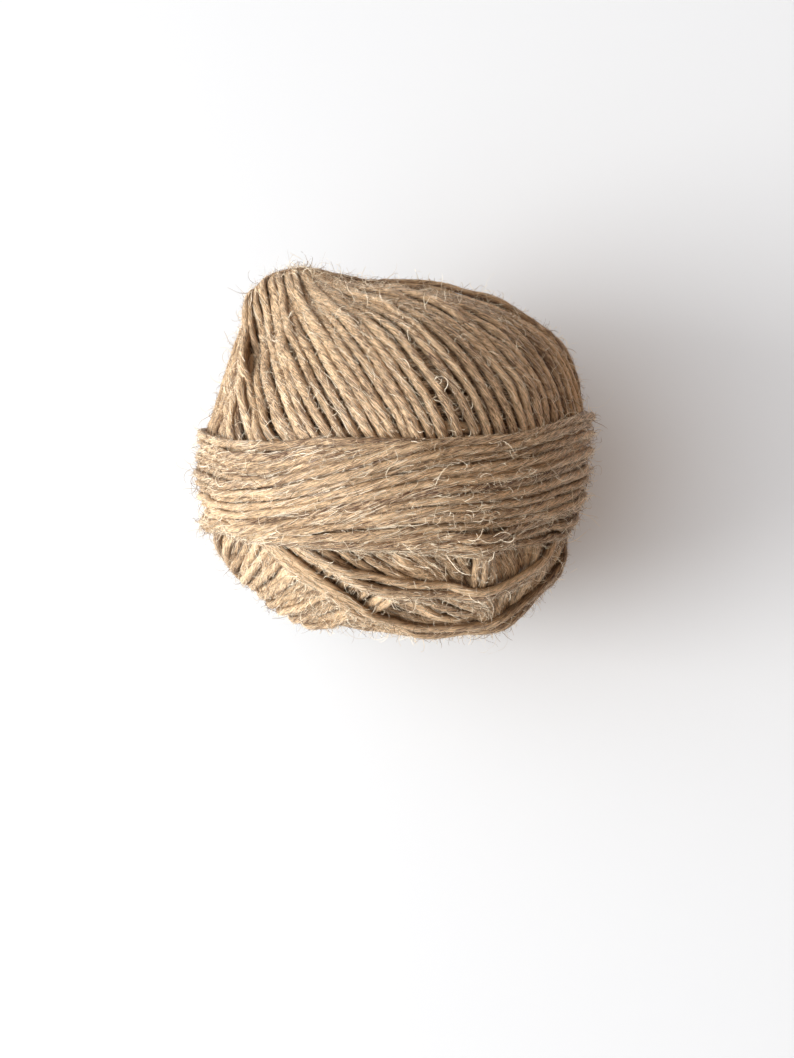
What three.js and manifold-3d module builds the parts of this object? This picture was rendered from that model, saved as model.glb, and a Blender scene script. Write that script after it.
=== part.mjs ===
// A ball of jute twine, about 80 mm across, lying on its side. It is one length of twine: a body wound
// about a leaning axis, a fan of turns wound across it, and a belly band of turns laid round the middle,
// with two bundles that stray below the band on the upper face. The wound form and its main twists are
// one solid: a ridge of the body or the fan stands for two or three turns of twine, and a ridge of the
// belly band or of a stray bundle for one.
//
// Millimetres, +Z up. The ball rests on a small flat at z = 0, and the origin is there, under the middle of
// its overall box.
//
// The winding frame is the ball's own: its origin is the ball's centre, and it leans by LEAN about X.
// A direction in it is given in degrees: `around` turns from +x towards +z, and `up` lifts towards +y.
import * as THREE from "three";
import { mergeVertices } from "three/addons/utils/BufferGeometryUtils.js";
import Module from "manifold-3d";

const wasm = await Module();
wasm.setup();

// ---- Driving dimensions ----
const LEAN = 14; // degrees, about X
const CENTRE = new THREE.Vector3(-0.7, 0.55, 36.9); // the ball's centre above the surface it rests on
const BODY = { x: 35, y: 32.5, z: 36.5 }; // half-lengths of the body without its rims
// Turns pile up in soft rims round the ends of the winding axes.
const RIMS = [
  { around: 188, up: 54, height: 9.6, spread: 20 },
  { around: 188, up: -43, height: 6.0, spread: 29 },
  { around: 0, up: -55, height: 6.5, spread: 30 },
  { around: -6, up: 33, height: 5.0, spread: 29 },
];

// The body's turns are great circles that pass the winding axis by MISS degrees. Its sign is the side they
// pass on.
const AXIS = { around: 200, up: 62 };
const MISS = -9;
const BODY_RIDGES = 46;
const BODY_STEPS = 22; // along half a turn
const BODY_RIDGE_HEIGHT = 0.9;
const DIMPLE_DEPTH = 0.6; // at each end of the axis
const UNEVEN = 0.5; // how much ridges differ, as a share of their height

// A band of turns: its ridges, and how far its edges and its inner side are under its crests.
const BAND_RIDGE_HEIGHT = 0.7;
const BAND_EDGE_DROP = 3.2;
const BAND_DEPTH = 6.5;

// Each row gives a band's middle line, its half-width in degrees, and how far its crests stand out.
const BELLY = {
  ridges: 12,
  stations: 60,
  closed: true,
  rows: [
    { around: 0, up: -4, half: 16, rise: 2.4 },
    { around: 25, up: -6.5, half: 17.5, rise: 2.0 },
    { around: 50, up: -10.5, half: 17, rise: 1.6 },
    { around: 75, up: -12, half: 16, rise: 1.6 },
    { around: 100, up: -12, half: 14.5, rise: 1.7 },
    { around: 125, up: -10.5, half: 12.5, rise: 2.0 },
    { around: 150, up: -8.5, half: 12, rise: 2.2 },
    { around: 180, up: -6, half: 13.5, rise: 2.0 },
    { around: 220, up: -9, half: 14, rise: 1.7 },
    { around: 270, up: -13, half: 15, rise: 1.6 },
    { around: 320, up: -9, half: 15.5, rise: 1.8 },
  ],
};
const FAN = {
  ridges: 12,
  stations: 20,
  closed: false,
  rows: [
    { around: 124, up: -13, half: 14, rise: -2.5 },
    { around: 134, up: -24, half: 19, rise: 0.8 },
    { around: 147, up: -34, half: 24, rise: 1.2 },
    { around: 164, up: -44, half: 26, rise: 1.4 },
    { around: 192, up: -48, half: 20, rise: 1.3 },
    { around: 222, up: -42, half: 12, rise: 1.0 },
    { around: 248, up: -30, half: 9, rise: -2.5 },
  ],
};
const UPPER_STRAY = {
  ridges: 3,
  stations: 22,
  closed: false,
  rows: [
    { around: 14, up: -12, half: 2.6, rise: -2.0 },
    { around: 24, up: -27, half: 2.9, rise: 1.8 },
    { around: 40, up: -37, half: 3.3, rise: 1.6 },
    { around: 56, up: -42, half: 3.5, rise: 1.6 },
    { around: 72, up: -43, half: 4.0, rise: 1.6 },
    { around: 90, up: -41, half: 4.6, rise: 1.6 },
    { around: 104, up: -36.5, half: 4.2, rise: 1.6 },
    { around: 117, up: -30, half: 3.4, rise: 1.7 },
    { around: 129, up: -21, half: 3.0, rise: 1.8 },
    { around: 142, up: -12, half: 2.6, rise: -2.0 },
  ],
};
const LOWER_STRAY = {
  ridges: 4,
  stations: 26,
  closed: false,
  rows: [
    { around: -20, up: -14, half: 3.4, rise: -2.0 },
    { around: 2, up: -34, half: 4.0, rise: 1.0 },
    { around: 18, up: -48, half: 4.6, rise: 1.2 },
    { around: 34, up: -60, half: 5.2, rise: 1.7 },
    { around: 72, up: -69, half: 5.8, rise: 2.0 },
    { around: 103, up: -61, half: 5.6, rise: 2.0 },
    { around: 115, up: -48, half: 4.8, rise: 2.0 },
    { around: 124, up: -37, half: 3.8, rise: 1.7 },
    { around: 136, up: -24, half: 3.4, rise: 1.8 },
    { around: 150, up: -12, half: 3.0, rise: -2.0 },
  ],
};

// ---- Directions and the body's form ----
function direction({ around, up }) {
  const a = THREE.MathUtils.degToRad(around);
  const b = THREE.MathUtils.degToRad(up);
  return new THREE.Vector3(Math.cos(b) * Math.cos(a), Math.sin(b), Math.cos(b) * Math.sin(a));
}

const rims = RIMS.map((rim) => ({ ...rim, towards: direction(rim) }));

// The body's radius in a direction of the winding frame, without its ridges.
function bodyRadius(d) {
  let radius = 1 / Math.hypot(d.x / BODY.x, d.y / BODY.y, d.z / BODY.z);
  for (const rim of rims) {
    const apart = THREE.MathUtils.radToDeg(d.angleTo(rim.towards));
    radius += rim.height * Math.exp(-((apart / rim.spread) ** 2));
  }
  return radius;
}

const lean = new THREE.Matrix4().makeRotationX(THREE.MathUtils.degToRad(LEAN));

// The point of the ball that stands `out` from the body's form in a direction of the winding frame.
function place(d, out) {
  return d.clone().multiplyScalar(bodyRadius(d) + out).applyMatrix4(lean).add(CENTRE);
}

// A small share that is different for each ridge.
function uneven(ridge) {
  return UNEVEN * Math.sin(ridge * 2.4) * Math.cos(ridge * 0.9);
}

// ---- Solids ----
function solidFrom(points, triangles) {
  const geometry = new THREE.BufferGeometry().setFromPoints(points);
  geometry.setIndex(triangles);
  const merged = mergeVertices(geometry, 1e-4);
  return new wasm.Manifold(
    new wasm.Mesh({
      numProp: 3,
      vertProperties: merged.attributes.position.array,
      triVerts: new Uint32Array(merged.index.array),
    }),
  );
}

// The skin over rings of points, each ring joined to the next and, if closed, the last to the first.
function skin(perRing, rings, closed) {
  const triangles = [];
  for (let j = 0; j < (closed ? rings : rings - 1); j++)
    for (let i = 0; i < perRing; i++) {
      const a = j * perRing + i;
      const b = j * perRing + ((i + 1) % perRing);
      const c = ((j + 1) % rings) * perRing + i;
      const d = ((j + 1) % rings) * perRing + ((i + 1) % perRing);
      triangles.push(a, c, b, b, c, d);
    }
  return triangles;
}

// The body: lines of points run along its turns, and every second line is a crest.
function bodySolid() {
  const axis = direction(AXIS);
  const e1 = new THREE.Vector3(0, 0, 1).cross(axis).normalize();
  const e2 = axis.clone().cross(e1);
  const miss = THREE.MathUtils.degToRad(MISS);
  const lines = 2 * BODY_RIDGES;
  const points = [];
  for (let j = 0; j <= BODY_STEPS; j++) {
    const along = (Math.PI * j) / BODY_STEPS;
    const crestHeight = (BODY_RIDGE_HEIGHT / 2) * Math.min(1, 1.6 * Math.sin(along));
    for (let i = 0; i < lines; i++) {
      const turn = (2 * Math.PI * i) / lines;
      const outward = e1.clone().multiplyScalar(Math.cos(turn)).addScaledVector(e2, Math.sin(turn));
      const sideways = axis.clone().cross(outward);
      const nearest = outward.multiplyScalar(Math.sin(miss)).addScaledVector(axis, Math.cos(miss));
      const d = nearest.multiplyScalar(Math.cos(along)).addScaledVector(sideways, -Math.sin(along));
      points.push(place(d, (i % 2 === 0 ? crestHeight : -crestHeight) * (1 + uneven(i))));
    }
  }
  const triangles = skin(lines, BODY_STEPS + 1, false);
  const last = BODY_STEPS * lines;
  const upper = points.push(place(axis, -DIMPLE_DEPTH)) - 1;
  const lower = points.push(place(axis.clone().negate(), -DIMPLE_DEPTH)) - 1;
  for (let i = 0; i < lines; i++) {
    const next = (i + 1) % lines;
    triangles.push(upper, i, next, lower, last + next, last + i);
  }
  return solidFrom(points, triangles);
}

// A band of side-by-side turns that follows its middle line. An open band dives into the body at its ends.
function bandSolid({ rows, ridges, stations, closed }) {
  const smooth = (points) => new THREE.CatmullRomCurve3(points, closed, "catmullrom", 0.5);
  const middle = smooth(rows.map(direction));
  const sizes = smooth(rows.map(({ half, rise }) => new THREE.Vector3(half, rise, 0)));
  const points = [];
  for (let j = 0; j < stations; j++) {
    const t = middle.getUtoTmapping(closed ? j / stations : j / (stations - 1));
    const d = middle.getPoint(t).normalize();
    const side = d.clone().cross(middle.getTangent(t)).normalize();
    const { x: half, y: rise } = sizes.getPoint(t);
    const groove = BAND_RIDGE_HEIGHT * (closed ? 1 : Math.min(1, 5 * t, 5 * (1 - t)));
    const add = (share, out) => {
      const off = THREE.MathUtils.degToRad(half * share);
      const e = d.clone().multiplyScalar(Math.cos(off)).addScaledVector(side, Math.sin(off));
      points.push(place(e, out));
    };
    add(-1, rise - BAND_EDGE_DROP);
    for (let k = 0; k < ridges; k++) {
      if (k > 0) add((2 * k) / ridges - 1, rise - groove);
      add((2 * k + 1) / ridges - 1, rise + uneven(k) * groove);
    }
    add(1, rise - BAND_EDGE_DROP);
    add(0.8, rise - BAND_DEPTH);
    add(-0.8, rise - BAND_DEPTH);
  }
  const perRing = points.length / stations;
  const triangles = skin(perRing, stations, closed);
  if (!closed) {
    const last = (stations - 1) * perRing;
    for (let i = 1; i < perRing - 1; i++)
      triangles.push(0, i, i + 1, last, last + i + 1, last + i);
  }
  return solidFrom(points, triangles);
}

// The ball: the body with its bands, cut flat where it rests.
function ballSolid() {
  const wound = [FAN, BELLY, UPPER_STRAY, LOWER_STRAY].reduce(
    (solid, band) => solid.add(bandSolid(band)),
    bodySolid(),
  );
  const below = new THREE.BoxGeometry(200, 200, 40).translate(0, 0, -20);
  below.deleteAttribute("normal");
  below.deleteAttribute("uv");
  const { attributes, index } = mergeVertices(below);
  const corners = [];
  for (let i = 0; i < attributes.position.count; i++)
    corners.push(new THREE.Vector3().fromBufferAttribute(attributes.position, i));
  return wound.subtract(solidFrom(corners, Array.from(index.array)));
}

function meshOf(name, solid, material) {
  const { vertProperties, triVerts } = solid.getMesh();
  const geometry = new THREE.BufferGeometry();
  geometry.setAttribute("position", new THREE.BufferAttribute(vertProperties, 3));
  geometry.setIndex(new THREE.BufferAttribute(triVerts, 1));
  geometry.computeVertexNormals();
  const mesh = new THREE.Mesh(geometry, material);
  mesh.name = name;
  return mesh;
}

const jute = new THREE.MeshStandardMaterial({ color: 0xbfa27a, roughness: 0.9, metalness: 0 });

const ball = new THREE.Group();
ball.add(meshOf("twine_ball", ballSolid(), jute));

export default ball;
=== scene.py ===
# The looks of the ball of jute twine. The twine is wound here as the real one is: turn after turn is laid
# over a map of how high the turns under it stand, pulled taut, and brought to the form of the CAD ball.
# What can be seen of it becomes tubes of loosely twisted fibre, and fine hairs stand out from them.
import math

import bpy
import numpy as np
from mathutils import Matrix


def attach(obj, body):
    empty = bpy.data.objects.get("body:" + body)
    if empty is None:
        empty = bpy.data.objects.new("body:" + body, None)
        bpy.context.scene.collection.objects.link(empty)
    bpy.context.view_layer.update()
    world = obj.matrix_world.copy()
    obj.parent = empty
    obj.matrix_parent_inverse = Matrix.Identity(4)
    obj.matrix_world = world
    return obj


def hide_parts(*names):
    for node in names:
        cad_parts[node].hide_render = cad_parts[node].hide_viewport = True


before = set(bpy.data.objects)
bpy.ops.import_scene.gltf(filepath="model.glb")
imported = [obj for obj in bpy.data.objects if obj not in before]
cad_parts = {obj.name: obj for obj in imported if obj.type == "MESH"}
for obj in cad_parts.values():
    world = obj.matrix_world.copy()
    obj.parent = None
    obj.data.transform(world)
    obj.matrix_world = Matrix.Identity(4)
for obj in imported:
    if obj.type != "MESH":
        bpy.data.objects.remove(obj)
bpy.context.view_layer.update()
rng = np.random.default_rng(7)

# ---- Sizes in millimetres, in the ball's own frame: x, y up the winding, z out to the upper face ----
LEAN = math.radians(14)
CENTRE = np.array([-0.7, 0.55, 36.9])
BODY = np.array([35.0, 32.5, 36.5])
# The bulges of the form: (around, up, height, spread), the angles in degrees.
RIMS = [(188, 54, 9.6, 20), (188, -43, 6.0, 29), (0, -55, 6.5, 30), (-6, 33, 5.0, 29)]
MEAN_RADIUS = 37.0
SOFT = 1.2  # how far above the surface the ball starts to give way
STEP = 0.25  # between samples along the twine
WIDE = 1.88  # the twine's width, before a winding squeezes it
THICK = 1.55
TWIST = 2 * math.pi / 26  # radians for each millimetre
ENDS_DEPTH = 2.2  # how far the ends of a length go down between the turns
OWN_BARE = -9.0  # the height where no turn lies, on the map of one winding alone
BARE = -3.0  # the same on the map of the whole ball, once the crests are brought to the form
INSIDE_DEPTH = 2.3  # of the dark inside, below the form

# A band's middle line and half-width in degrees: (around, up, half).
BELLY = [
    (270, -13, 15), (320, -9, 15.5), (0, -4, 15.5), (25, -6.5, 17), (50, -10.5, 16.7), (75, -12, 16),
    (100, -12, 14.5), (125, -10.5, 12.5), (150, -8.5, 12), (180, -6, 13.5), (220, -9, 14),
]
BELLY_DEPTH = 1.3  # how far the belly presses the body in
BELLY_SIDE = [
    (78, 2, 2), (95, 0, 3.5), (110, -1.5, 5), (125, -3.5, 6), (150, -2, 6), (180, 1, 6.5), (220, -1, 7),
    (250, -3, 6), (275, -1, 4), (300, 3, 2),
]
LOOSE_TURNS = [(64, -21, 1.5), (60, -28, 2.5), (57.5, -34, 3.2), (55.5, -40, 3), (54, -48, 1.8)]
UPPER_STRAY = [
    (14, -12, 2.6), (24, -27, 2.9), (40, -37, 3.3), (56, -42, 3.5), (72, -43, 4.0), (90, -41, 4.6),
    (104, -36.5, 4.2), (117, -30, 3.4), (129, -21, 3.0), (142, -12, 2.6),
]
LOWER_STRAY = [
    (-20, -14, 3.4), (2, -34, 4.0), (18, -48, 4.6), (34, -60, 5.2), (72, -69, 5.8), (103, -61, 5.6),
    (115, -48, 4.8), (124, -37, 3.8), (136, -24, 3.4), (150, -12, 3.0),
]


# ---- Directions and form ----
def unit(v):
    return v / np.linalg.norm(v, axis=-1, keepdims=True)


def direction(around, up):
    a, b = np.radians(around), np.radians(up)
    return np.stack([np.cos(b) * np.cos(a), np.sin(b), np.cos(b) * np.sin(a)], -1)


def form(d):
    """The body's radius in each direction."""
    radius = 1 / np.linalg.norm(d / BODY, axis=-1)
    for around, up, height, spread in RIMS:
        apart = np.degrees(np.arccos(np.clip(d @ direction(around, up), -1, 1)))
        radius = radius + height * np.exp(-((apart / spread) ** 2))
    return radius


def to_world(p):
    """Points of the ball's frame in metres of the scene. The ball gives way softly where it rests."""
    x, y, z = p[..., 0], p[..., 1], p[..., 2]
    cos, sin = math.cos(LEAN), math.sin(LEAN)
    world = np.stack([x, y * cos - z * sin, y * sin + z * cos], -1) + CENTRE
    high = world[..., 2]
    world[..., 2] = np.where(high > SOFT, high, SOFT * np.exp(np.minimum(high / SOFT - 1, 0)))
    return world / 1000


def smooth(values, samples):
    """Values blurred along their first axis."""
    reach = int(3 * samples) + 1
    kernel = np.exp(-0.5 * (np.arange(-reach, reach + 1) / samples) ** 2)
    padded = np.pad(values, reach, mode="edge")
    return np.convolve(padded, kernel / kernel.sum(), mode="valid")


def wobble(count, samples):
    """Smooth random values about zero, with a spread of one."""
    made = smooth(rng.normal(size=count), samples)
    return (made - made.mean()) / made.std()


# ---- The map of heights ----
CELLS = 512
ACROSS = np.arange(-0.9, 0.91, 0.15)
FOOT = np.arange(-0.45, 0.46, 0.15)


def cell(d):
    """Where each direction lies on a square map of the sphere, folded from an octahedron."""
    p = d / np.abs(d).sum(-1, keepdims=True)
    q = p[:, :2].copy()
    under = p[:, 2] < 0
    q[under] = (1 - np.abs(p[under][:, 1::-1])) * np.where(q[under] >= 0, 1, -1)
    k = np.clip(((q + 1) / 2 * CELLS).astype(int), 0, CELLS - 1)
    return k[:, 0] * CELLS + k[:, 1]


def beside(path, offsets):
    """The map's cells at each offset to the side of each sample."""
    side = unit(np.cross(path, np.gradient(path, axis=0)))
    d = unit(path[:, None] + side[:, None] * (offsets / MEAN_RADIUS)[None, :, None])
    return cell(d.reshape(-1, 3)).reshape(len(path), -1)


def stamp(height, path, centre, press, wide):
    """Raises the map to the round top of the twine along the path."""
    dome = np.sqrt(1 - (ACROSS / (WIDE / 2)) ** 2) * THICK / 2
    np.maximum.at(height, beside(path, ACROSS * wide), centre[:, None] + press[:, None] * dome)


def taut(under):
    """How a pulled length lies over bumps: it spans the dips between them."""
    reach = 6
    windows = np.lib.stride_tricks.sliding_window_view(np.pad(under, reach, mode="edge"), 2 * reach + 1)
    return smooth(windows.max(1), 6)


def lay(height, ground, own, path, press, give, wide, sink):
    """Lays twine along the path and returns the height of its middle.

    The ground is the map before this winding, which the twine sinks into, and `own` is the map of this
    winding alone. A turn climbs on its own neighbours by no more than `give`."""
    foot = beside(path, FOOT * wide)
    lowest = taut(ground[foot].max(1)) - sink
    centre = np.clip(taut(own[foot].max(1)), lowest, lowest + give) + press * THICK / 2
    stamp(height, path, centre, press, wide)
    stamp(own, path, centre, press, wide)
    return centre


def ends_down(count, depth, reach=7.0):
    """How far the two ends of a length of twine go down between the turns."""
    run = np.arange(count) * STEP
    return depth * np.clip(1 - np.minimum(run, run[-1] - run) / reach, 0, 1) ** 1.5


def lay_length(height, ground, own, path, steps, press, give, wide, sink):
    """Lays one length a turn of `steps` samples at a time."""
    sink = sink + ends_down(len(path), ENDS_DEPTH)
    parts = [slice(i, i + steps) for i in range(0, len(path), steps)]
    centre = [lay(height, ground, own, path[p], press[p], give[p], wide, sink[p]) for p in parts]
    return smooth(np.concatenate(centre), 4)


# ---- Paths ----
SWAY = [
    (unit(rng.normal(size=3)), rng.uniform(3, 7), rng.uniform(0, 6), rng.uniform(0.2, 0.55)) for _ in range(9)
]


def sway(d):
    """How far neighbouring turns drift sideways together, in millimetres."""
    return sum(size * np.sin(often * (d @ axis) + phase) for axis, often, phase, size in SWAY)


def wound(pole, normals, turns, loose):
    """One length of twine that goes round through both poles, while its plane follows the normals."""
    steps = int(round(2 * math.pi * MEAN_RADIUS / STEP))
    t = np.arange(turns * steps) / steps
    n = unit(normals((t + loose * wobble(len(t), 900)) / turns))
    u = unit(pole - (n @ pole)[:, None] * n)
    a = 2 * math.pi * t[:, None]
    d = np.cos(a) * u + np.sin(a) * np.cross(n, u)
    aside = sway(d) + 0.19 * wobble(len(t), 60) + 0.1 * wobble(len(t), 18)
    return unit(d + n * (aside / MEAN_RADIUS)[:, None]), steps


def rows_through(rows, closed):
    """Middle direction, direction to the side and half-width along a band, evenly spaced."""
    table = np.array(rows, float)
    values = np.column_stack([direction(table[:, 0], table[:, 1]), table[:, 2]])
    k = len(values)
    pad = [values[-1], *values, values[0], values[1]] if closed else [values[0], *values, values[-1]]
    pad = np.array(pad)
    spans = k if closed else k - 1
    t = np.linspace(0, spans, 4000, endpoint=False)
    i = t.astype(int)
    f = (t - i)[:, None]
    a, b, c, e = (pad[i + j] for j in range(4))
    curve = 0.5 * (2 * b + (c - a) * f + (2 * a - 5 * b + 4 * c - e) * f**2 + (3 * b - a - 3 * c + e) * f**3)
    middle, half = unit(curve[:, :3]), curve[:, 3]
    if closed:
        middle, half = np.vstack([middle, middle[:1]]), np.append(half, half[0])
    run = np.append(0, np.cumsum(np.linalg.norm(np.diff(middle, axis=0), axis=1))) * MEAN_RADIUS
    at = np.arange(0, run[-1], STEP)
    middle = unit(np.column_stack([np.interp(at, run, middle[:, j]) for j in range(3)]))
    return middle, unit(np.cross(np.gradient(middle, axis=0), middle)), np.radians(np.interp(at, run, half))


def across(middle, side, half, place, drift):
    """The path at the given place of a band, which is -1 at one edge of it and 1 at the other."""
    count = len(middle)
    angle = ((place + drift * wobble(count, 70) + 0.3 * drift * wobble(count, 20)) * half)[:, None]
    return unit(middle * np.cos(angle) + side * np.sin(angle))


def band(rows, places, drift):
    """A length of twine at each place of an open band."""
    middle, side, half = rows_through(rows, False)
    return [(across(middle, side, half, place, drift), len(middle)) for place in places]


def loops(rows, places, left_places, drift):
    """One length of twine round a closed band, at each of its places in turn.

    It goes from one place to the next under the ball. Round the left side of the ball, each turn moves to
    the place given for there."""
    middle, side, half = rows_through(rows, True)
    steps = len(middle)
    middle, side, half = (np.concatenate([a] * len(places)) for a in (middle, side, half))
    turn = np.arange(len(middle)) / steps
    knots = np.repeat(np.arange(len(places)), 2) + np.tile([0.07, 0.93], len(places))
    here, there = (smooth(np.interp(turn, knots, np.repeat(p, 2)), 20) for p in (places, left_places))
    around = np.degrees(np.arctan2(middle[:, 2], middle[:, 0])) % 360
    left = np.interp(around, [0, 72, 150, 200, 330, 360], [0, 0, 1, 1, 0, 0])
    left = left * left * (3 - 2 * left)
    return [(across(middle, side, half, here + (there - here) * left, drift), steps)]


# ---- Laying the body ----
def pole_at(turned, tilt):
    """A way to a pole in degrees: turned from x towards y, and tilted up out of that plane."""
    a, b = math.radians(turned), math.radians(tilt)
    return np.array([math.cos(a), math.sin(a), math.tan(b)])


A_POLE = pole_at(118, 0)
A_TILTS = [(-90, -150), (-28, -137), (-9, -147), (6, -153), (41, -155), (90, -150)]
B_POLE = unit(pole_at(44.6, 31))
A_SPLIT = -36  # turns of the second winding lie between the first turns of the first and the rest


def a_normals(first, last):
    """The planes of the main winding's turns, between two angles out of the upper face."""
    def normals(share):
        out = np.interp(share, [0, 0.5, 1], [first, first + 0.38 * (last - first), last])
        tilt = np.radians(np.interp(out, *zip(*A_TILTS)) + 0.7 * wobble(len(share), 700))
        o = np.radians(out)
        return np.stack([np.cos(tilt) * np.cos(o), np.sin(tilt) * np.cos(o), np.sin(o)], -1)

    return normals


def b_normals(first, last):
    """The planes of the crossing winding's turns, between two angles about its pole."""
    e1 = unit(np.cross(B_POLE, [0, 0, 1.0]))
    e2 = np.cross(B_POLE, e1)

    def normals(share):
        a = np.radians(first + (last - first) * share[:, None])
        return np.cos(a) * e1 + np.sin(a) * e2

    return normals


def filler_normals(share):
    """The planes of the turns that lie under all others."""
    a = math.pi * share
    return np.stack([0.06 * np.sin(9 * share), np.cos(a), np.sin(a)], -1)


def stretches(wanted):
    """Where each run of true values starts and ends."""
    edges = np.flatnonzero(np.diff(np.concatenate([[False], wanted, [False]]).astype(int)))
    return list(zip(edges[::2], edges[1::2]))


def wind(height, piece, pole, normals, degrees, pitch, passes, until=2.0):
    """One winding in a few passes, whose turns fall between each other's.

    Where its turns come nearer the pole than the cosine `until`, they go under and are left out."""
    ground, own = height.copy(), np.full_like(height, OWN_BARE)
    turns = int(round(math.radians(degrees) * MEAN_RADIUS / (pitch * passes)))
    made = []
    for k in range(passes):
        shift = (k / passes - 0.5) / turns
        whole, steps = wound(pole, lambda share: normals(share + shift), turns, 0.2 / (pitch * passes))
        for a, b in stretches(whole @ pole < until):
            path = whole[a:b]
            press = np.clip(1.6 * np.linalg.norm(np.cross(path, pole), axis=1), 0.45, 1)
            give = 1.05 + 0.15 * wobble(len(path), 200)
            centre = lay_length(height, ground, own, path, steps, press, give, 1.0, 0.0)
            made.append({"piece": piece, "path": path, "centre": centre, "press": press, "wide": 1.0})
    return made


height = np.zeros(CELLS * CELLS)
# Every length of twine: its piece and path, the height of its middle, how squeezed and how wide it is.
lengths = []
lengths += wind(height, "first_turns", np.array([1.0, 0, 0]), filler_normals, 180, 2.6, 2)
lengths += wind(height, "first_turns", A_POLE, a_normals(-90, A_SPLIT), A_SPLIT + 90, 2.5, 3)
lengths += wind(height, "crossing_turns", B_POLE, b_normals(-30, 38), 68, 2.15, 2, 0.1)
lengths += wind(height, "later_turns", A_POLE, a_normals(A_SPLIT, 90), 90 - A_SPLIT, 2.4, 3)


# The crests of the turns that lie on top are brought to the form.
def powers(d, most=10):
    """The smooth functions over the sphere that the crests are fitted with."""
    x, y, z = d.T
    exponents = [(i, j, k) for k in (0, 1) for i in range(most + 1) for j in range(most + 1 - i - k)]
    return np.stack([x**i * y**j * z**k for i, j, k in exponents], -1)


crest_at, crest = [], []
for s in lengths:
    top = s["centre"] + s["press"] * THICK / 2
    shown = top >= height[cell(s["path"])] - 0.1
    crest_at.append(s["path"][shown][::9])
    crest.append(top[shown][::9])
fit = np.linalg.lstsq(powers(np.vstack(crest_at)), np.concatenate(crest), rcond=None)[0]


def pressed_in(d):
    """How far the body gives way under the belly."""
    around, up = np.degrees(np.arctan2(d[:, 2], d[:, 0])), np.degrees(np.arcsin(np.clip(d[:, 1], -1, 1)))
    rows = np.array(BELLY, float)
    middle, half = (np.interp(around, rows[:, 0], rows[:, j], period=360) for j in (1, 2))
    share = np.clip((1.08 - np.abs(up - middle) / half) / 0.3, 0, 1)
    return BELLY_DEPTH * share * share * (3 - 2 * share)


def stamp_length(length):
    stamp(height, length["path"], length["centre"], length["press"], length["wide"])


height[:] = BARE
for s in lengths:
    s["centre"] = s["centre"] - powers(s["path"]) @ fit - pressed_in(s["path"])
    stamp_length(s)

# ---- Laying the stray bundles and the belly ----
# The belly's turns lie side by side on the right. On the left they slope and crowd at the lower edge, and a
# few others come out from under the upper edge.
turns = 13
places = np.linspace(-0.96, 0.96, turns)[np.argsort(np.arange(turns) + 1.8 * rng.normal(size=turns))]
sloped = np.maximum(places - 0.92, -0.98 + 0.12 * places)
base = np.linspace(-0.9, 0.9, 12)
for made, wide, sink in (
    (band(LOOSE_TURNS, (-0.8, 0.0, 0.8), 0.15), 0.86, -0.9),
    (band(LOWER_STRAY, (-0.6, -0.15, 0.3, 0.7), 0.11), 0.88, 0.3),
    (band(UPPER_STRAY, (-0.5, 0.0, 0.5), 0.13), 0.88, 0.3),
    (loops(BELLY, base, base, 0.05), 0.9, 0.3),
    (band(BELLY_SIDE, np.linspace(-0.9, 0.9, 6), 0.05), 0.88, 0.3),
    (loops(BELLY, places, sloped, 0.02), 0.8, 0.2),
):
    ground, own = height.copy(), np.full_like(height, OWN_BARE)
    for path, steps in made:
        press, give = np.full(len(path), 0.8), np.full(len(path), 0.65)
        centre = lay_length(height, ground, own, path, steps, press, give, wide, sink)
        lengths.append(
            {"piece": "belly_and_strays", "path": path, "centre": centre, "press": press, "wide": wide}
        )


# ---- What shows ----
def runs_shown(path, centre, press, wide, **_):
    """The first and last sample of each run that isn't covered, with a little more under what covers it."""
    offsets = np.array([-0.85, -0.45, 0, 0.45, 0.85])
    dome = np.sqrt(1 - (offsets / (WIDE / 2)) ** 2) * THICK / 2
    seen = (centre[:, None] + press[:, None] * dome >= height[beside(path, offsets * wide)] - 0.3).any(1)
    reach = 18  # samples on each side
    seen = np.lib.stride_tricks.sliding_window_view(np.pad(seen, reach, mode="edge"), 2 * reach + 1).any(1)
    return [(a, b) for a, b in stretches(seen) if b - a > 2 * reach + 6]


# ---- Meshes ----
def mesh_piece(name, points, faces, material, uv, **values):
    """A piece of the ball, with the values at its points that its material reads."""
    mesh = bpy.data.meshes.new(name)
    mesh.from_pydata(points.tolist(), [], faces)
    mesh.shade_smooth()
    for key, value in values.items():
        kind = "FLOAT_VECTOR" if value.ndim == 2 else "FLOAT"
        layer = mesh.attributes.new(key, kind, "POINT")
        layer.data.foreach_set("vector" if value.ndim == 2 else "value", value.astype(np.float32).ravel())
    layer = mesh.uv_layers.new(name="OFBake")
    layer.data.foreach_set("uv", uv.astype(np.float32).ravel())
    mesh.materials.append(material)
    piece = bpy.data.objects.new(name, mesh)
    bpy.context.scene.collection.objects.link(piece)
    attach(piece, "root")
    return piece


def shelves(sizes, height_of_row):
    """Corners of strips packed in rows, and the side of the square that holds them."""
    wide = max(max(sizes), math.sqrt(sum(sizes) * height_of_row)) * 1.04
    corners, x, y = [], 0.0, 0.0
    for size in sizes:
        if x + size > wide:
            x, y = 0.0, y + height_of_row
        corners.append((x, y))
        x += size
    return corners, max(wide, y + height_of_row)


SECTION = np.radians([90, 60, 31, 4, -32, -90, -148, 176, 149, 120])
SIDES = len(SECTION)
RING = 4  # samples from ring to ring


def frame_along(path, centre):
    """Middle points of a length of twine, with its directions ahead, aside and out."""
    points = path * (form(path) + centre)[:, None]
    ahead = unit(np.gradient(points, axis=0))
    aside = unit(np.cross(ahead, path))
    return points, ahead, aside, np.cross(aside, ahead)


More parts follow.
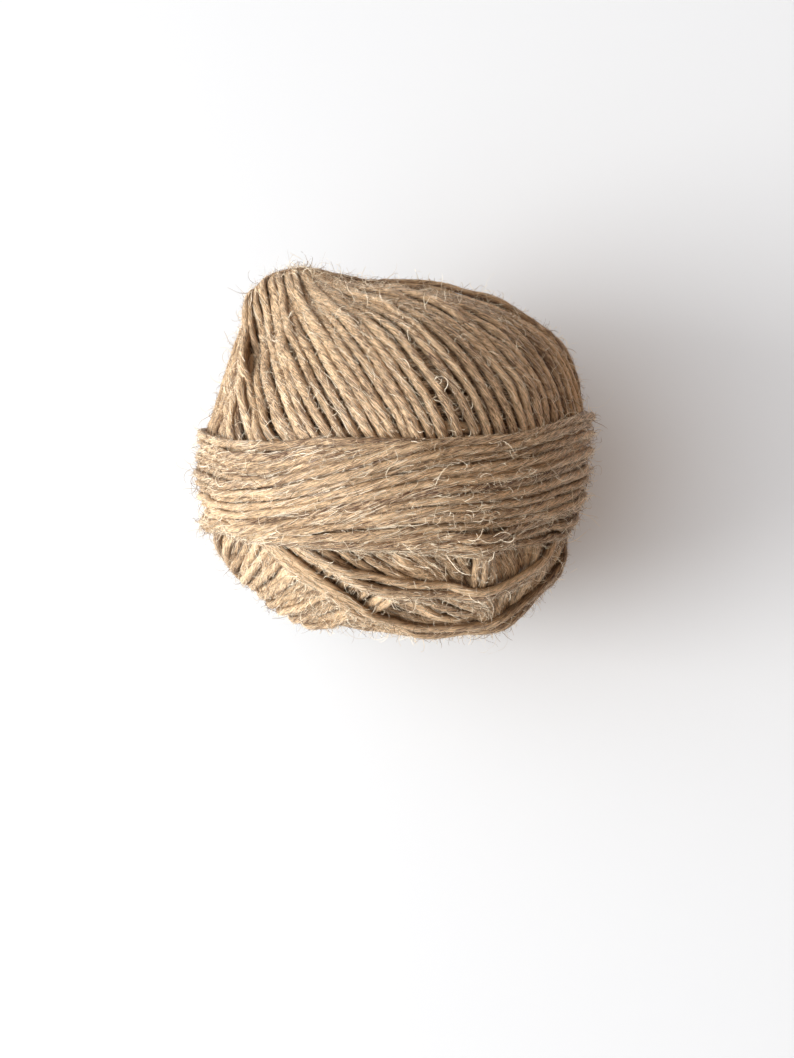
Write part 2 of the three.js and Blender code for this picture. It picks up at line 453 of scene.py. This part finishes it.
def twine_piece(name, strands, material):
    """One mesh of many runs of twine. A strand is (points, aside, out, along, wide, thick, tone)."""
    corners, side = shelves([s["along"][-1] - s["along"][0] + 4 for s in strands], 7.0)
    points, faces, uv, fibre, tone, lit = [], [], [], [], [], []
    base = 0
    for s, (u0, v0) in zip(strands, corners):
        rings = len(s["points"])
        turn = SECTION[None] - TWIST * s["along"][:, None]
        bulge = 1 + 0.07 * np.cos(2 * turn) + 0.03 * np.cos(5 * turn + 1) + 0.07 * rng.normal(size=turn.shape)
        across = np.cos(SECTION)[None] * bulge * s["wide"][:, None] / 2
        upward = np.sin(SECTION)[None] * bulge * s["thick"][:, None] / 2
        p = s["points"][:, None] + across[..., None] * s["aside"][:, None]
        p = p + upward[..., None] * s["out"][:, None]
        points.append(p.reshape(-1, 3))
        along = np.broadcast_to(s["along"][:, None], turn.shape)
        fibre.append(np.stack([along, np.cos(turn) * bulge, np.sin(turn) * bulge], -1).reshape(-1, 3))
        tone.append(np.repeat(s["tone"], SIDES))
        # Painted shade: the sides and underside of each strand get a lower value here, which darkens their
        # colour as if shaded in the grooves between turns.
        lit.append(np.tile(np.clip(0.3 + 0.75 * np.sin(SECTION), 0, 1), rings))
        i, j = np.meshgrid(np.arange(rings - 1), np.arange(SIDES), indexing="ij")
        i, j = i.ravel(), j.ravel()
        k = (j + 1) % SIDES
        quads = base + np.stack([i * SIDES + j, (i + 1) * SIDES + j, (i + 1) * SIDES + k, i * SIDES + k], -1)
        faces += quads.tolist()
        faces.append((base + np.arange(SIDES)).tolist())
        faces.append((base + (rings - 1) * SIDES + np.arange(SIDES)[::-1]).tolist())
        u = u0 + 1 + s["along"] - s["along"][0]
        v = v0 + 0.5 + 6.0 * np.arange(SIDES + 1) / SIDES
        quad_uv = [(u[i], v[j]), (u[i + 1], v[j]), (u[i + 1], v[j + 1]), (u[i], v[j + 1])]
        uv.append(np.stack([np.stack(corner, -1) for corner in quad_uv], 1).reshape(-1, 2))
        cap = np.stack([0.8 * np.cos(SECTION), 3 + 2 * np.sin(SECTION)], -1)
        uv.append(cap + [u0 + 1, v0 + 0.5])
        uv.append(cap[::-1] + [u[-1], v0 + 0.5])
        base += rings * SIDES
    return mesh_piece(
        name, to_world(np.vstack(points)), faces, material, np.vstack(uv) / side,
        fibre=np.vstack(fibre), tone=np.concatenate(tone), lit=np.concatenate(lit),
    )


# ---- Materials ----
def nodes_of(name):
    material = bpy.data.materials.new(name)
    material.use_nodes = True
    tree = material.node_tree
    return material, tree, tree.nodes["Principled BSDF"]


def jute(name, dark, light, bump):
    """Fibre streaks that follow the twist, a tone that drifts along the twine, and painted shade that darkens
    the sides and underside of the strands.
    """
    material, tree, shader = nodes_of(name)
    new, link = tree.nodes.new, tree.links.new

    def attribute(which):
        node = new("ShaderNodeAttribute")
        node.attribute_name = which
        return node

    def streaks(scale, detail):
        stretch = new("ShaderNodeVectorMath")
        stretch.operation = "MULTIPLY"
        stretch.inputs[1].default_value = scale
        link(attribute("fibre").outputs["Vector"], stretch.inputs[0])
        noise = new("ShaderNodeTexNoise")
        noise.inputs["Scale"].default_value = 1.0
        noise.inputs["Detail"].default_value = detail
        noise.inputs["Roughness"].default_value = 0.6
        link(stretch.outputs["Vector"], noise.inputs["Vector"])
        return noise.outputs["Fac"]

    def combine(operation, a, b, amount=None):
        node = new("ShaderNodeMath")
        node.operation = operation
        for socket, value in zip(node.inputs, (a, b, amount)):
            if value is None:
                continue
            if isinstance(value, (int, float)):
                socket.default_value = value
            else:
                link(value, socket)
        return node.outputs["Value"]

    coarse, fine = streaks((0.4, 1.8, 1.8), 3.0), streaks((0.5, 4.5, 4.5), 4.0)
    both = combine("MULTIPLY_ADD", coarse, 0.5, combine("MULTIPLY", fine, 1.2))
    toned = combine("MULTIPLY_ADD", attribute("tone").outputs["Fac"], 0.065, both)
    ramp = new("ShaderNodeValToRGB")
    ramp.color_ramp.elements[0].position = 0.64
    ramp.color_ramp.elements[0].color = dark
    ramp.color_ramp.elements[1].position = 1.02
    ramp.color_ramp.elements[1].color = light
    link(toned, ramp.inputs["Fac"])
    # Painted shade: the colour is multiplied darker where the value the mesh gives for it is low, on the sides
    # and underside of the strands.
    depth = new("ShaderNodeMix")
    depth.data_type = "RGBA"
    depth.blend_type = "MULTIPLY"
    depth.inputs["Factor"].default_value = 1.0
    shade = new("ShaderNodeValToRGB")
    shade.color_ramp.elements[0].color = (0.36, 0.29, 0.22, 1)
    link(attribute("lit").outputs["Fac"], shade.inputs["Fac"])
    link(ramp.outputs["Color"], depth.inputs["A"])
    link(shade.outputs["Color"], depth.inputs["B"])
    link(depth.outputs["Result"], shader.inputs["Base Color"])
    rough = new("ShaderNodeBump")
    rough.inputs["Strength"].default_value = bump
    rough.inputs["Distance"].default_value = 0.0004
    link(both, rough.inputs["Height"])
    link(rough.outputs["Normal"], shader.inputs["Normal"])
    shader.inputs["Roughness"].default_value = 0.42
    shader.inputs["Specular IOR Level"].default_value = 0.55
    shader.inputs["Sheen Weight"].default_value = 0.2
    shader.inputs["Sheen Tint"].default_value = light
    shader.inputs["Sheen Roughness"].default_value = 0.5
    return material


def linear(r, g, b):
    return (*(((c / 255 + 0.055) / 1.055) ** 2.4 for c in (r, g, b)), 1.0)


twine_look = jute("twine", linear(90, 54, 28), linear(252, 212, 164), 1.0)
# The inside is coloured darker than the twine: painted shade of the turns deep in the ball.
core_painted_shade_look = jute("core", linear(84, 60, 38), linear(150, 114, 78), 0.5)
hair_look = jute("hair", linear(128, 92, 58), linear(255, 236, 204), 0.1)

# ---- The twine ----
shown = []
for index, length in enumerate(lengths):
    path, centre, press = length["path"], length["centre"], length["press"]
    points, ahead, aside, out = frame_along(path, centre)
    count = len(path)
    along = np.arange(count) * STEP + 531 * index  # no two lengths have the same streaks
    wide = WIDE * length["wide"] * (1 + 0.08 * wobble(count, 40) + 0.06 * wobble(count, 12))
    thick = THICK * (1 + 0.06 * wobble(count, 40)) * np.clip(press * 1.3, 0.7, 1)
    tone = 0.8 * wobble(count, 300) + 0.5 * wobble(count, 60)
    strand = {"points": points, "ahead": ahead, "aside": aside, "out": out, "along": along, "wide": wide,
              "thick": thick, "tone": tone}
    for a, b in runs_shown(**length):
        shown.append({"piece": length["piece"], **{key: value[a:b] for key, value in strand.items()}})


def thinned(s):
    """A run with the samples that become rings of its mesh."""
    keep = np.unique(np.append(np.arange(0, len(s["points"]), RING), len(s["points"]) - 1))
    return {key: value[keep] if isinstance(value, np.ndarray) else value for key, value in s.items()}


whole_pieces = ("first_turns", "crossing_turns", "belly_and_strays")
groups = {name: [s for s in shown if s["piece"] == name] for name in whole_pieces}
later = [s for s in shown if s["piece"] == "later_turns"]
run = np.cumsum([len(s["points"]) for s in later])
groups["later_turns_left"] = [s for s, r in zip(later, run) if r <= run[-1] / 2]
groups["later_turns_right"] = [s for s, r in zip(later, run) if r > run[-1] / 2]
for name, strands in groups.items():
    piece = twine_piece(name, [thinned(s) for s in strands], twine_look)
    if name == "later_turns_left":
        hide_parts("twine_ball")

# ---- The inside, coloured darker as painted shade of the hidden turns ----
# It stands higher under the belly, where the turns that can't be seen were left out.
rings, around_count = 60, 120
lat = np.linspace(-90, 90, rings + 2)[1:-1]
lon = np.arange(around_count) * 360 / around_count
grid = direction(*np.meshgrid(lon, lat)).reshape(-1, 3)
core_d = np.vstack([grid, [[0, -1, 0], [0, 1, 0]]])
core_points = core_d * (form(core_d) - INSIDE_DEPTH + 0.2 * pressed_in(core_d))[:, None]
i, j = (m.ravel() for m in np.meshgrid(np.arange(rings - 1), np.arange(around_count), indexing="ij"))
k = (j + 1) % around_count
core_faces = np.stack([i * around_count + j, (i + 1) * around_count + j, (i + 1) * around_count + k,
                       i * around_count + k], -1).tolist()
south, north = len(grid), len(grid) + 1
core_faces += [[south, a, (a + 1) % around_count] for a in range(around_count)]
last_ring = (rings - 1) * around_count
core_faces += [[north, last_ring + (a + 1) % around_count, last_ring + a] for a in range(around_count)]
core_uv = []
for face in core_faces:
    for v in face:
        p = core_d[v]
        core_uv.append((0.25 + 0.24 * p[0] + (0.5 if p[2] < 0 else 0), 0.5 + 0.24 * p[1]))
mesh_piece(
    "inside", to_world(core_points), core_faces, core_painted_shade_look, np.array(core_uv),
    fibre=core_points * 0.5, tone=np.zeros(len(core_d)), lit=np.ones(len(core_d)),
)


# ---- Hairs ----
def hair_piece(name, lines, facing, width):
    """Flat fibres that taper to the tip. Lines is (hairs, points, 3)."""
    hairs, count, _ = lines.shape
    side = unit(np.cross(np.gradient(lines, axis=1), facing) + 1e-9)
    half = np.linspace(1, 0.4, count)[None, :, None] * (width / 2 * rng.uniform(0.6, 1.4, hairs))[:, None, None]
    points = np.stack([lines - side * half, lines + side * half], 2).reshape(-1, 3)
    h, i = (m.ravel() for m in np.meshgrid(np.arange(hairs), np.arange(count - 1), indexing="ij"))
    at = (h * count + i) * 2
    faces = np.stack([at, at + 1, at + 3, at + 2], -1)
    row = math.ceil(math.sqrt(hairs))
    u, v = (h % row + 0.1 + 0.8 * i / (count - 1)) / row, (h // row + 0.1) / row
    du, dv = 0.8 / (count - 1) / row, 0.8 / row
    quad_uv = [(u, v), (u, v + dv), (u + du, v + dv), (u + du, v)]
    uv = np.stack([np.stack(corner, -1) for corner in quad_uv], 1)
    fibre = np.repeat(rng.uniform(-50, 50, (hairs, 3)), count * 2, axis=0)
    tone = np.repeat(rng.uniform(-6, 6, hairs), count * 2)
    mesh_piece(
        name, to_world(points), faces.tolist(), hair_look, uv.reshape(-1, 2),
        fibre=fibre, tone=tone, lit=np.ones(len(points)),
    )


hair_needs = ("points", "ahead", "aside", "out", "wide", "thick")
every = {key: np.concatenate([s[key] for s in shown]) for key in hair_needs}
sizes = [len(s["points"]) for s in shown]
where_end = np.repeat(np.cumsum(sizes) - 1, sizes)
top_here = np.linalg.norm(every["points"], axis=1) - form(unit(every["points"])) + THICK / 2
is_top = np.flatnonzero(top_here >= height[cell(unit(every["points"]))] - 0.25)


def lying(name, count, steps, shortest, longest, lift, slip, width):
    """Fibres that follow the twist of the twine, close to it."""
    start = rng.choice(is_top, count)
    size = rng.uniform(shortest, longest, count)[:, None]
    t = np.linspace(0, 1, steps)
    index = np.minimum(start[:, None] + (t * size / STEP).astype(int), where_end[start][:, None])
    a = rng.uniform(math.radians(15), math.radians(165), (count, 1))
    a = a + (TWIST * size + rng.normal(0, slip, (count, 1))) * t
    off = 0.02 + lift * rng.random((count, 1)) * np.abs(t - rng.uniform(0.2, 0.8, (count, 1))) * 2
    wide, thick = every["wide"][index] / 2 + off, every["thick"][index] / 2 + off
    lines = (every["points"][index] + (np.cos(a) * wide)[..., None] * every["aside"][index]
             + (np.sin(a) * thick)[..., None] * every["out"][index])
    hair_piece(name, lines, unit(lines), width)


def standing(name, count, steps, shortest, longest, rise, curl, width, tufts=()):
    """Loose fibres that leave the twine and curl. A tuft is (around, up, spread in degrees, share of them)."""
    chance = np.full(len(is_top), 1 / len(is_top))
    for around, up, spread, share in tufts:
        apart = np.degrees(np.arccos(np.clip(unit(every["points"][is_top]) @ direction(around, up), -1, 1)))
        near = np.exp(-((apart / spread) ** 2))
        chance += share * near / near.sum()
    start = rng.choice(is_top, count, p=chance / chance.sum())
    size = shortest + (longest - shortest) * rng.random((count, 1)) ** 2
    a = rng.uniform(math.radians(20), math.radians(160), (count, 1))
    out, aside, ahead = every["out"][start], every["aside"][start], every["ahead"][start]
    radial = np.cos(a) * aside + np.sin(a) * out
    line = [every["points"][start] + 0.5 * (np.cos(a) * aside * every["wide"][start][:, None]
                                            + np.sin(a) * out * every["thick"][start][:, None])]
    heading = unit(radial * rise + ahead * rng.choice([-1, 1], (count, 1)) * rng.uniform(0.3, 1.2, (count, 1))
                   + 0.4 * rng.normal(size=(count, 3)))
    spin = unit(rng.normal(size=(count, 3)))
    for _ in range(steps - 1):
        line.append(line[-1] + heading * size / (steps - 1))
        spin = unit(spin + 0.35 * rng.normal(size=(count, 3)))
        heading = unit(heading + curl * np.cross(spin, heading) - 0.06 * radial)
    hair_piece(name, np.stack(line, 1), unit(rng.normal(size=(count, 1, 3))), width)


lying("lying_hairs", 14000, steps=6, shortest=2, longest=7, lift=0.5, slip=0.5, width=0.075)
standing("fuzz", 32000, steps=4, shortest=0.5, longest=2.4, rise=0.5, curl=0.6, width=0.08)
standing(
    "loose_hairs", 8500, steps=7, shortest=1.2, longest=5, rise=0.7, curl=0.45, width=0.1,
    tufts=((140, -58, 9, 0.03), (68, -20, 12, 0.03)),
)
standing(
    "long_hairs", 300, steps=14, shortest=4, longest=11, rise=0.8, curl=0.3, width=0.085,
    tufts=((68, -20, 16, 0.25), (170, -5, 25, 0.15)),
)

# ---- Floor, light and camera ----
floor_mesh = bpy.data.meshes.new("floor")
floor_mesh.from_pydata([(-2, -2, 0), (2, -2, 0), (2, 2, 0), (-2, 2, 0)], [], [(0, 1, 2, 3)])
floor_look, _, floor_shader = nodes_of("floor")
floor_shader.inputs["Base Color"].default_value = linear(227, 226, 224)
floor_shader.inputs["Roughness"].default_value = 0.8
floor_mesh.materials.append(floor_look)
floor = bpy.data.objects.new("floor", floor_mesh)
bpy.context.scene.collection.objects.link(floor)

X_AXIS = np.array([1.0, 0, 0])
UP_AXIS = np.array([0, math.cos(LEAN), math.sin(LEAN)])
OUT_AXIS = np.array([0, -math.sin(LEAN), math.cos(LEAN)])


def placed(thing, at, back, up):
    """Stands a camera or a light at a point, looking away from `back`."""
    back = unit(back)
    right = unit(np.cross(up, back))
    up = np.cross(back, right)
    holder = bpy.data.objects.new(thing.name, thing)
    bpy.context.scene.collection.objects.link(holder)
    pose = np.eye(4)
    pose[:3] = np.column_stack([right, up, back, at])
    holder.matrix_world = Matrix(pose.tolist())
    return holder


middle = CENTRE / 1000
# A wide soft window to the left, low and a little to the front.
WINDOW = unit(np.array([-0.86, -0.2, 0.42]))
world = bpy.data.worlds.new("studio")
world.use_nodes = True
new, link = world.node_tree.nodes.new, world.node_tree.links.new
seen = new("ShaderNodeTexCoord").outputs["Generated"]
lights = []
# A cool glow from the window and a weak warm one from the room: (direction, sharpness, colour).
for toward, sharp, colour in (
    (WINDOW, 3.4, (3.35, 3.8, 4.25)),
    (unit(np.array([0.25, 0.05, 1.0])), 2.0, (0.34, 0.17, 0.05)),
):
    facing = new("ShaderNodeVectorMath")
    facing.operation = "DOT_PRODUCT"
    facing.inputs[1].default_value = toward
    link(seen, facing.inputs[0])
    sharper = new("ShaderNodeMath")
    sharper.operation = "MULTIPLY_ADD"
    sharper.inputs[1].default_value = sharp
    sharper.inputs[2].default_value = -sharp
    link(facing.outputs["Value"], sharper.inputs[0])
    glow = new("ShaderNodeMath")
    glow.operation = "EXPONENT"
    link(sharper.outputs["Value"], glow.inputs[0])
    tint = new("ShaderNodeVectorMath")
    tint.operation = "SCALE"
    tint.inputs[0].default_value = colour
    link(glow.outputs["Value"], tint.inputs["Scale"])
    lights.append(tint.outputs["Vector"])
both = new("ShaderNodeVectorMath")
both.operation = "ADD"
link(lights[0], both.inputs[0])
link(lights[1], both.inputs[1])
link(both.outputs["Vector"], world.node_tree.nodes["Background"].inputs["Color"])
bpy.context.scene.world = world
key = bpy.data.lights.new("window", "AREA")
key.size = 0.4
key.energy = 5.5
key.color = (0.97, 0.99, 1.0)
placed(key, middle + 0.8 * WINDOW, WINDOW, UP_AXIS)

camera = bpy.data.cameras.new("camera")
camera.sensor_width = 36
camera.lens = 36 * 1300 / 1058
camera.clip_start = 0.01
down, aside = math.atan(74 / 1300), math.atan(4 / 1300)
back = OUT_AXIS * math.cos(down) + UP_AXIS * math.sin(down) - X_AXIS * math.sin(aside)
bpy.context.scene.camera = placed(camera, middle + 0.26 * OUT_AXIS, back, UP_AXIS)
bpy.context.scene.view_settings.view_transform = "Standard"
